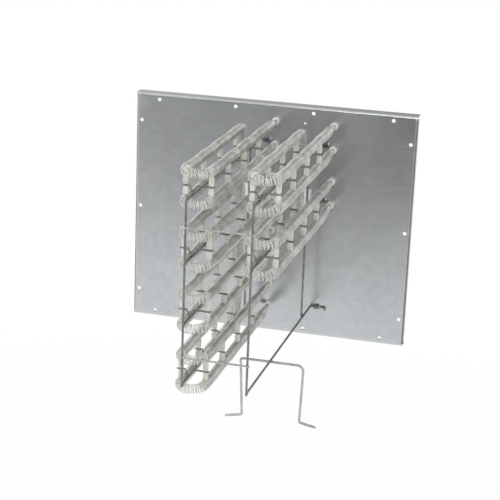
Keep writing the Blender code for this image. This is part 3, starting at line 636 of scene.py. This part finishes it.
# Insulators: pairs of hourglass ceramics pressed from bare steatite. A coil lies in the
# hollow of each end, and a thin tongue goes in between two of its turns. One formed wire
# threads both waists, and its dip is welded to the rail below.
rail_radius, cross_radius, cross_bend = 1.5 * mm, 1.2 * mm, 1.6 * mm
cross_left, cross_right = -23 * mm, 21 * mm
dip_left, dip_right = rail_offset_x - 3.4 * mm, rail_offset_x + 5.6 * mm
dip_z = -rail_drop + rail_radius + cross_radius
# Height over the waist, half width, front and back of the ceramic, in millimetres.
ceramic_rows = np.array([
    (0.0, 2.7, 0.9, 2.25), (1.15, 2.7, 0.9, 2.25), (1.35, 2.75, -0.6, 2.25),
    (1.6, 2.8, -2.0, 2.25), (2.4, 3.0, -2.25, 2.25), (4.0, 3.4, -2.25, 2.25),
    (6.5, 3.65, -2.25, 2.25), (9.5, 3.65, -2.25, 2.25), (11.5, 3.5, -2.25, 2.25),
    (13.0, 3.15, -2.15, 2.15), (14.0, 2.8, -1.8, 1.8), (14.7, 2.45, -1.1, 1.1),
    (15.3, 2.35, -0.7, 0.7), (17.0, 2.4, -0.7, 0.7), (23.5, 2.55, -0.7, 0.7),
    (24.6, 2.2, -0.62, 0.62), (25.0, 1.7, -0.4, 0.4)])
ceramic_x = (left_x[1], (right_x[1] + right_x[-1]) / 2)


def hourglass():
    """Level rings up the ceramic, each a squared-off oval: the coordinates are the half sizes
    times the square roots of the cosine and sine. The lower half mirrors the upper one, and
    is shorter by as much as the lower tier lies closer to the waist."""
    rows = np.concatenate([ceramic_rows[:0:-1] * (-tier_z[-1] / tier_z[1], 1, 1, 1),
                           ceramic_rows]) * mm
    sides = 20
    angle = np.linspace(0, 2 * np.pi, sides, endpoint=False) + np.pi / sides
    cos, sin = np.cos(angle), np.sin(angle)
    x = rows[:, 1:2] * np.sign(cos) * np.sqrt(np.abs(cos))
    y = (rows[:, 2:3] + rows[:, 3:4]) / 2 + ((rows[:, 3:4] - rows[:, 2:3]) / 2
                                             * np.sign(sin) * np.sqrt(np.abs(sin)))
    points = np.stack([x, y, rows[:, :1] * np.ones(sides)], -1)
    return points.reshape(-1, 3), capped_rings(len(rows), sides)


def bent(points, radii, steps=6):
    """A path through the points whose inner corners are arcs of the given radii."""
    points = [np.asarray(point, float) for point in points]
    made = [points[0][None]]
    for before, corner, after, radius in zip(points, points[1:], points[2:], radii):
        back, ahead = unit(before - corner), unit(after - corner)
        half = math.acos(np.clip(back @ ahead, -1, 1)) / 2
        centre = corner + unit(back + ahead) * radius / math.sin(half)
        start = corner + back * radius / math.tan(half) - centre
        end = corner + ahead * radius / math.tan(half) - centre
        share = np.linspace(0, 1, steps)[:, None]
        made.append(centre + unit(start * (1 - share) + end * share) * radius)
    return np.concatenate([*made, points[-1][None]])


def rod(path, radius, sides, hint, spacing=4.0 * mm):
    """A wire along the path with softly rounded ends; long straights get more points."""
    length = np.linalg.norm(np.diff(path, axis=0), axis=1)
    dense = [path[:1]]
    for start, end, far in zip(path, path[1:], length):
        share = np.linspace(0, 1, max(1, int(far / spacing)) + 1)[1:, None]
        dense.append(start + (end - start) * share)
    dense = np.concatenate(dense)
    first, last = unit(dense[0] - dense[1]), unit(dense[-1] - dense[-2])
    soft, end_share = 0.35 * radius, 0.72
    dense[0] -= first * soft
    dense[-1] -= last * soft
    dense = np.concatenate([[dense[0] + first * soft], dense, [dense[-1] + last * soft]])
    radii = np.full(len(dense), radius)
    radii[[0, -1]] *= end_share
    return skin(dense, radii, sides, hint)


steatite = ceramic_finish("bare_steatite", "#D1CFC6", "#EDEBE4", 0.55, 0.0)
ceramic_shape = hourglass()
ceramic_pair = merged([moved(ceramic_shape, (x, 0, 0)) for x in ceramic_x])
cross_path = bent([(cross_left, 0, 0), (dip_left, 0, 0), (rail_offset_x, 0, dip_z),
                   (dip_right, 0, 0), (cross_right, 0, 0)], [cross_bend] * 3)
cross_shape = rod(cross_path, cross_radius, 12, np.array([0, 1.0, 0]))


def steel_finish(name, dark, light, roughness):
    """Drawn steel wire, bare or galvanised: a dull gloss with drawing dust and slow patches."""
    made, tree, shader, dust = patchy_finish(
        name, 1.0, roughness, [(0.32, dark), (0.68, light)], (12 * mm, 4.0), (1 * mm, 3.0),
        (0.15, 0.05 * mm))
    rough = add_node(tree, "ShaderNodeMapRange", Value=dust, To_Min=roughness - 0.08,
                     To_Max=roughness + 0.1)
    tree.links.new(rough.outputs[0], shader.inputs["Roughness"])
    return made


rack_steel = steel_finish("drawn_steel_wire", "#7C7C7A", "#9C9C99", 0.36)
bright_wire = steel_finish("galvanised_wire", "#B3B4B2", "#CBCCCA", 0.32)
for side, number, x, z in banks:
    for station in range(station_count):
        spot = (x, -stations[station], z)
        label = f"{number + 1}_{station + 1}"
        pair = piece(f"{side}_ceramics_{label}", *moved(ceramic_pair, spot), steatite,
                     "steatite_ceramic")
        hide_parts(f"{side}_insulators_{label}")
        piece(f"{side}_cross_wire_{label}", *moved(cross_shape, spot), rack_steel, "rack_wire")

# Wire rack: 3 mm drawn wire, resistance-welded where it crosses. Each rail hooks behind a
# bridge of the plate. Upright posts join the rails front and back, and two lighter bars
# join the columns across the front.
post_radius, bar_radius, rod_sides = 1.5 * mm, 1.25 * mm, 14
post_front, post_rear, rear_post_offset = -367 * mm, -47 * mm, 3.3 * mm
post_top, post_bottom = bank_z[0] - 5 * mm, bank_z[3] - 15 * mm
hook_y, hook_bend, tip_bend, tip_z = -1.9 * mm, 3 * mm, 2 * mm, -4.5 * mm
hook_reach, bottom_hook_reach = 15.5 * mm, 21.5 * mm
bar_y, bar_past_left, bar_past_right = post_front - 3.05 * mm, 5.5 * mm, 3.6 * mm
bar_z = {"upper_front_bar": bank_z[0] - 46.9 * mm, "lower_front_bar": bank_z[3] + 26.5 * mm}
# Each weld is its place, and then half its size each way in millimetres.
welds = []
for name, x, z in rails:
    reach = bottom_hook_reach if name == "right_rail_bottom" else hook_reach
    path = bent([(0, post_front + 1.6 * mm, 0), (0, hook_y, 0), (reach, hook_y, 0),
                 (reach, hook_y, tip_z)], [hook_bend, tip_bend])
    # The rings' first direction leans back, so that it is along no part of the hook.
    rail_shape = rod(path, rail_radius, rod_sides, np.array([0, 1.0, 1.0]))
    rail = piece(f"{name}_wire", *moved(rail_shape, (x, 0, z)), rack_steel, "rack_wire")
    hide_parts(name)
    welds.append((x, post_front + 1.5 * mm, z, 2.0, 1.5, 2.0))
    welds.append((x - 1.6 * mm, post_rear, z, 1.1, 2.0, 2.0))
for side, x in column_x.items():
    rail_x = x + rail_offset_x
    for place, post_x, y in (("front", rail_x, post_front),
                             ("rear", rail_x - rear_post_offset, post_rear)):
        path = np.array([(post_x, y, post_bottom), (post_x, y, post_top)])
        post = piece(f"{side}_{place}_post_wire",
                     *rod(path, post_radius, rod_sides, np.array([0, 1.0, 0])), rack_steel,
                     "rack_wire")
        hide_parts(f"{side}_{place}_post")
for name, z in bar_z.items():
    path = np.array([(column_x["left"] + rail_offset_x - bar_past_left, bar_y, z),
                     (column_x["right"] + rail_offset_x + bar_past_right, bar_y, z)])
    bar = piece(f"{name}_wire", *rod(path, bar_radius, rod_sides, np.array([0, 0, 1.0])),
                bright_wire, "leg_wire")
    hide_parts(name)
    welds += [(x + rail_offset_x, post_front - 1.6 * mm, z, 1.8, 1.3, 1.6)
              for x in column_x.values()]
welds += [(x + rail_offset_x, -station, z - rail_drop + 1.6 * mm, 1.5, 1.9, 1.0)
          for side, number, x, z in banks for station in stations]

# Support leg: one galvanised wire bent to a hat with two splayed feet. It is welded under the
# bottom rail and steadies the rack in its duct.
leg_y, leg_radius, below_rail = -238 * mm, 1.75 * mm, 1.8 * mm
leg_crown = bank_z[3] - rail_drop - below_rail - leg_radius
leg_rail_x = column_x["right"] + rail_offset_x
leg_left, leg_right = leg_rail_x - 42.5 * mm, leg_rail_x + 45 * mm
leg_height, foot_drop = 82 * mm, 4.5 * mm
left_lean, right_lean = 4.3 * mm, -2.5 * mm
left_foot, right_foot = leg_left - 19.2 * mm, leg_right + 21 * mm
tight_bend, wide_bend = 3 * mm, 8 * mm
ankle = leg_crown - leg_height
leg_path = bent([(left_foot, leg_y, ankle - foot_drop), (leg_left + left_lean, leg_y, ankle),
                 (leg_left, leg_y, leg_crown), (leg_right, leg_y, leg_crown),
                 (leg_right + right_lean, leg_y, ankle), (right_foot, leg_y, ankle - foot_drop)],
                [tight_bend, tight_bend, wide_bend, tight_bend], steps=10)
leg = piece("support_leg_wire", *rod(leg_path, leg_radius, 18, np.array([0, 1.0, 0])),
            bright_wire, "leg_wire")
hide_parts("support_leg")
welds.append((leg_rail_x, leg_y, leg_crown + leg_radius + 0.1 * mm, 1.9, 1.9, 1.0))


def nugget(x, y, z, half_x, half_y, half_z):
    """A weld: a small ball, stretched by its half sizes and made uneven by two waves."""
    rings, sides, pole, uneven = 9, 14, 0.08, 0.07
    down = np.linspace(pole, np.pi - pole, rings)[:, None]
    angle = np.linspace(0, 2 * np.pi, sides, endpoint=False)[None]
    swell = 1 + uneven * np.sin(3 * angle + 900 * x) * np.sin(2 * down + 700 * z)
    ball = np.stack([half_x * np.sin(down) * np.cos(angle) * swell,
                     half_y * np.sin(down) * np.sin(angle) * swell,
                     half_z * np.cos(down) * swell * np.ones_like(angle)], -1)
    return (ball * mm).reshape(-1, 3) + (x, y, z), inside_out(capped_rings(rings, sides))


weld_steel = steel_finish("weld_steel", "#5E5B57", "#7A7772", 0.45)
piece("rack_welds", *merged([nugget(*weld) for weld in welds]), weld_steel, "rack_wire")

# Limit thermostats: a pale aluminium flange and cup stand in each window of the plate. The
# moulded body and its two blade terminals are behind, where the wiring goes.
flange_y, flange_thickness, flange_round = 1.5 * mm, 1.0 * mm, 0.2 * mm
flange_half_width, flange_half_height, flange_corner = 15 * mm, 19 * mm, 2.5 * mm
blade_x, blade_half_thickness = 4 * mm, 0.4 * mm
axis = 0.01 * mm


def phenolic_finish():
    """Moulded phenolic: almost black brown, half gloss, with a slight flow grain."""
    made, tree, shader, place = finish_named("moulded_phenolic", 0.0, 0.4)
    flow = add_node(tree, "ShaderNodeTexNoise", Vector=place, Scale=1 / (4 * mm), Detail=3.0,
                    Distortion=1.0)
    colour = add_node(tree, "ShaderNodeValToRGB", i0=flow.outputs["Fac"],
                      stops=[(0.3, "#1B1714"), (0.7, "#2A2420")])
    tree.links.new(colour.outputs[0], shader.inputs["Base Color"])
    return made


def pressed(outline, thickness, round_by):
    """An outline in x and z given a thickness in y, its edges rounded by a quarter circle:
    each layer is the outline moved in along its own normals."""
    step = np.roll(outline, -1, 0) - np.roll(outline, 1, 0)
    inward = unit(np.stack([-step[:, 1], step[:, 0]], 1))
    angle = np.linspace(np.pi / 2, 0, 4)
    inset = round_by * (1 - np.cos(angle))
    level = thickness / 2 - round_by + round_by * np.sin(angle)
    inset, level = np.append(inset, inset[::-1]), np.append(-level, level[::-1])
    flat = outline[None] + inset[:, None, None] * inward[None]
    layers = np.stack([flat[..., 0], np.broadcast_to(level[:, None], flat.shape[:2]),
                       flat[..., 1]], -1)
    return layers.reshape(-1, 3), inside_out(capped_rings(len(level), len(outline)))


def blade(x):
    """A flat blade at x: three rings of four corners along y, the last one narrower."""
    y = np.array([10.5, 18.6, 19.5])[:, None] * mm
    half_width = np.array([3.15, 3.15, 2.2])[:, None] * mm
    across, up = np.array([(-1, -1), (1, -1), (1, 1), (-1, 1)]).T
    points = np.broadcast_arrays(x + blade_half_thickness * across, y, half_width * up)
    return np.stack(points, -1).reshape(-1, 3), inside_out(capped_rings(3, 4))


# Stamped aluminium, tumbled matt: it scatters the light so evenly that it looks almost white,
# and is matched with a plain shader, not as a mirror.
aluminium = patchy_finish("dull_aluminium", 0.0, 0.5, [(0.3, "#F0F1F1"), (0.7, "#FAFAFA")],
                          (8 * mm, 2.0), (0.6 * mm, 2.0), (0.1, 0.04 * mm))[0]
phenolic = phenolic_finish()
cup_profile = [(axis, -0.9 * mm), (5.5 * mm, -0.9 * mm), (5.9 * mm, -1.2 * mm),
               (7.3 * mm, -1.2 * mm), (7.8 * mm, -0.9 * mm), (8.0 * mm, -0.4 * mm),
               (8.0 * mm, 1.2 * mm), (8.3 * mm, 1.6 * mm), (axis, 1.6 * mm)]
body_profile = [(axis, 2.4 * mm), (8.6 * mm, 2.4 * mm), (8.6 * mm, 9.8 * mm),
                (8.1 * mm, 10.6 * mm), (6.2 * mm, 10.8 * mm), (6.0 * mm, 11.5 * mm),
                (axis, 11.5 * mm)]
flange = pressed(rounded_box((0, 0), flange_half_width, flange_half_height, flange_corner),
                 flange_thickness, flange_round)
for side, x, z in windows:
    spot = (x, 0, z)
    shell_parts = [moved(flange, (0, flange_y + flange_thickness / 2, 0)),
                   turned(cup_profile, 40)]
    metal = piece(f"{side}_thermostat_cup", *moved(merged(shell_parts), spot), aluminium,
                  "thermostat_metal")
    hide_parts(f"{side}_limit_thermostat")
    piece(f"{side}_thermostat_body", *moved(turned(body_profile, 40), spot), phenolic)
    blades = merged([blade(-blade_x), blade(blade_x)])
    piece(f"{side}_thermostat_blades", *moved(blades, spot), plated, flat=True)

# The background is white for the camera; in reflections it is darker in front and to the rear
# than at the sides, which gives the bare metal its shading.
floor_z, floor_side, floor_front, floor_rear = -0.75, 9.0, -2.4, 9.0
pure_white = linear("#FFFFFF")


def studio_finish():
    """Matt white board."""
    made = bpy.data.materials.new("studio_floor")
    made.use_nodes = True
    tree = made.node_tree
    tree.nodes.clear()
    pale = add_node(tree, "ShaderNodeBsdfDiffuse", Color=linear("#EAEAEA"))
    white = add_node(tree, "ShaderNodeEmission", Color=pure_white)
    light_path = add_node(tree, "ShaderNodeLightPath")
    straight = add_node(tree, "ShaderNodeMath", {"operation": "ADD", "use_clamp": True},
                        i0=light_path.outputs["Is Camera Ray"],
                        i1=light_path.outputs["Is Glossy Ray"])
    place = tree.nodes.new("ShaderNodeTexCoord").outputs["Object"]
    away = add_node(tree, "ShaderNodeVectorMath", {"operation": "LENGTH"}, i0=place)
    fade = add_node(tree, "ShaderNodeMapRange", Value=away.outputs["Value"], From_Min=0.9,
                    From_Max=1.8, To_Min=0.94)
    share = add_node(tree, "ShaderNodeMath", {"operation": "MULTIPLY"},
                     i0=straight.outputs[0], i1=fade.outputs[0])
    both = add_node(tree, "ShaderNodeMixShader", i0=share.outputs[0], i1=pale.outputs[0],
                    i2=white.outputs[0])
    add_node(tree, "ShaderNodeOutputMaterial", Surface=both.outputs[0])
    return made


floor_mesh = bpy.data.meshes.new("studio_floor")
floor_mesh.from_pydata([(-floor_side, floor_front, floor_z), (floor_side, floor_front, floor_z),
                        (floor_side, floor_rear, floor_z), (-floor_side, floor_rear, floor_z)],
                       [], [[0, 1, 2, 3]])
floor_mesh.materials.append(studio_finish())
floor = bpy.data.objects.new("studio_floor", floor_mesh)
scene.collection.objects.link(floor)

world = bpy.data.worlds.new("studio")
scene.world = world
world.use_nodes = True
room = world.node_tree
room.nodes.clear()
rays = add_node(room, "ShaderNodeLightPath")
direction = room.nodes.new("ShaderNodeTexCoord").outputs["Generated"]
axes = add_node(room, "ShaderNodeSeparateXYZ", Vector=direction)
sideways = add_node(room, "ShaderNodeMath", {"operation": "ABSOLUTE"}, i0=axes.outputs["X"])
near_walls = add_node(room, "ShaderNodeMapRange", Value=sideways.outputs[0], From_Min=0.12,
                      From_Max=0.65, To_Min=0.11, To_Max=0.85)
far_walls = add_node(room, "ShaderNodeMapRange", Value=sideways.outputs[0], From_Min=0.75,
                     From_Max=0.98, To_Min=1.0, To_Max=0.4)
walls = add_node(room, "ShaderNodeMath", {"operation": "MULTIPLY"}, i0=near_walls.outputs[0],
                 i1=far_walls.outputs[0])
rise = add_node(room, "ShaderNodeMapRange", Value=axes.outputs["Z"], From_Min=0.25,
                From_Max=0.9, To_Max=0.3)
rear = add_node(room, "ShaderNodeMapRange", Value=axes.outputs["Y"], From_Min=0.2,
                From_Max=0.95, To_Max=0.18)
above = add_node(room, "ShaderNodeMath", {"operation": "ADD"}, i0=walls.outputs[0],
                 i1=rise.outputs[0])
around = add_node(room, "ShaderNodeMath", {"operation": "ADD"}, i0=above.outputs[0],
                  i1=rear.outputs[0])
seen = add_node(room, "ShaderNodeBackground", Color=pure_white)
shone = add_node(room, "ShaderNodeBackground", Color=pure_white, Strength=around.outputs[0])
soft = add_node(room, "ShaderNodeBackground", Color=pure_white, Strength=0.6)
matt = add_node(room, "ShaderNodeMixShader", i0=rays.outputs["Is Glossy Ray"],
                i1=soft.outputs[0], i2=shone.outputs[0])
sky = add_node(room, "ShaderNodeMixShader", i0=rays.outputs["Is Camera Ray"],
               i1=matt.outputs[0], i2=seen.outputs[0])
add_node(room, "ShaderNodeOutputWorld", Surface=sky.outputs[0])


def lamp(name, place, size, power, aim=(0, -0.15, 0)):
    light = bpy.data.lights.new(name, "AREA")
    light.shape = "SQUARE"
    light.size = size
    light.energy = power
    holder = bpy.data.objects.new(name, light)
    holder.location = place
    holder.rotation_euler = (Vector(aim) - Vector(place)).to_track_quat("-Z", "Y").to_euler()
    scene.collection.objects.link(holder)


lamp("key", (-0.12, -2.8, 1.9), 0.6, 10)
lamp("left", (-1.9, -2.0, 1.5), 1.4, 15)
lamp("right", (2.35, -1.5, 0.75), 1.4, 12)
lamp("top", (-0.2, -0.9, 2.6), 1.8, 5)
lamp("behind", (1.5, 2.2, 1.4), 1.8, 9)
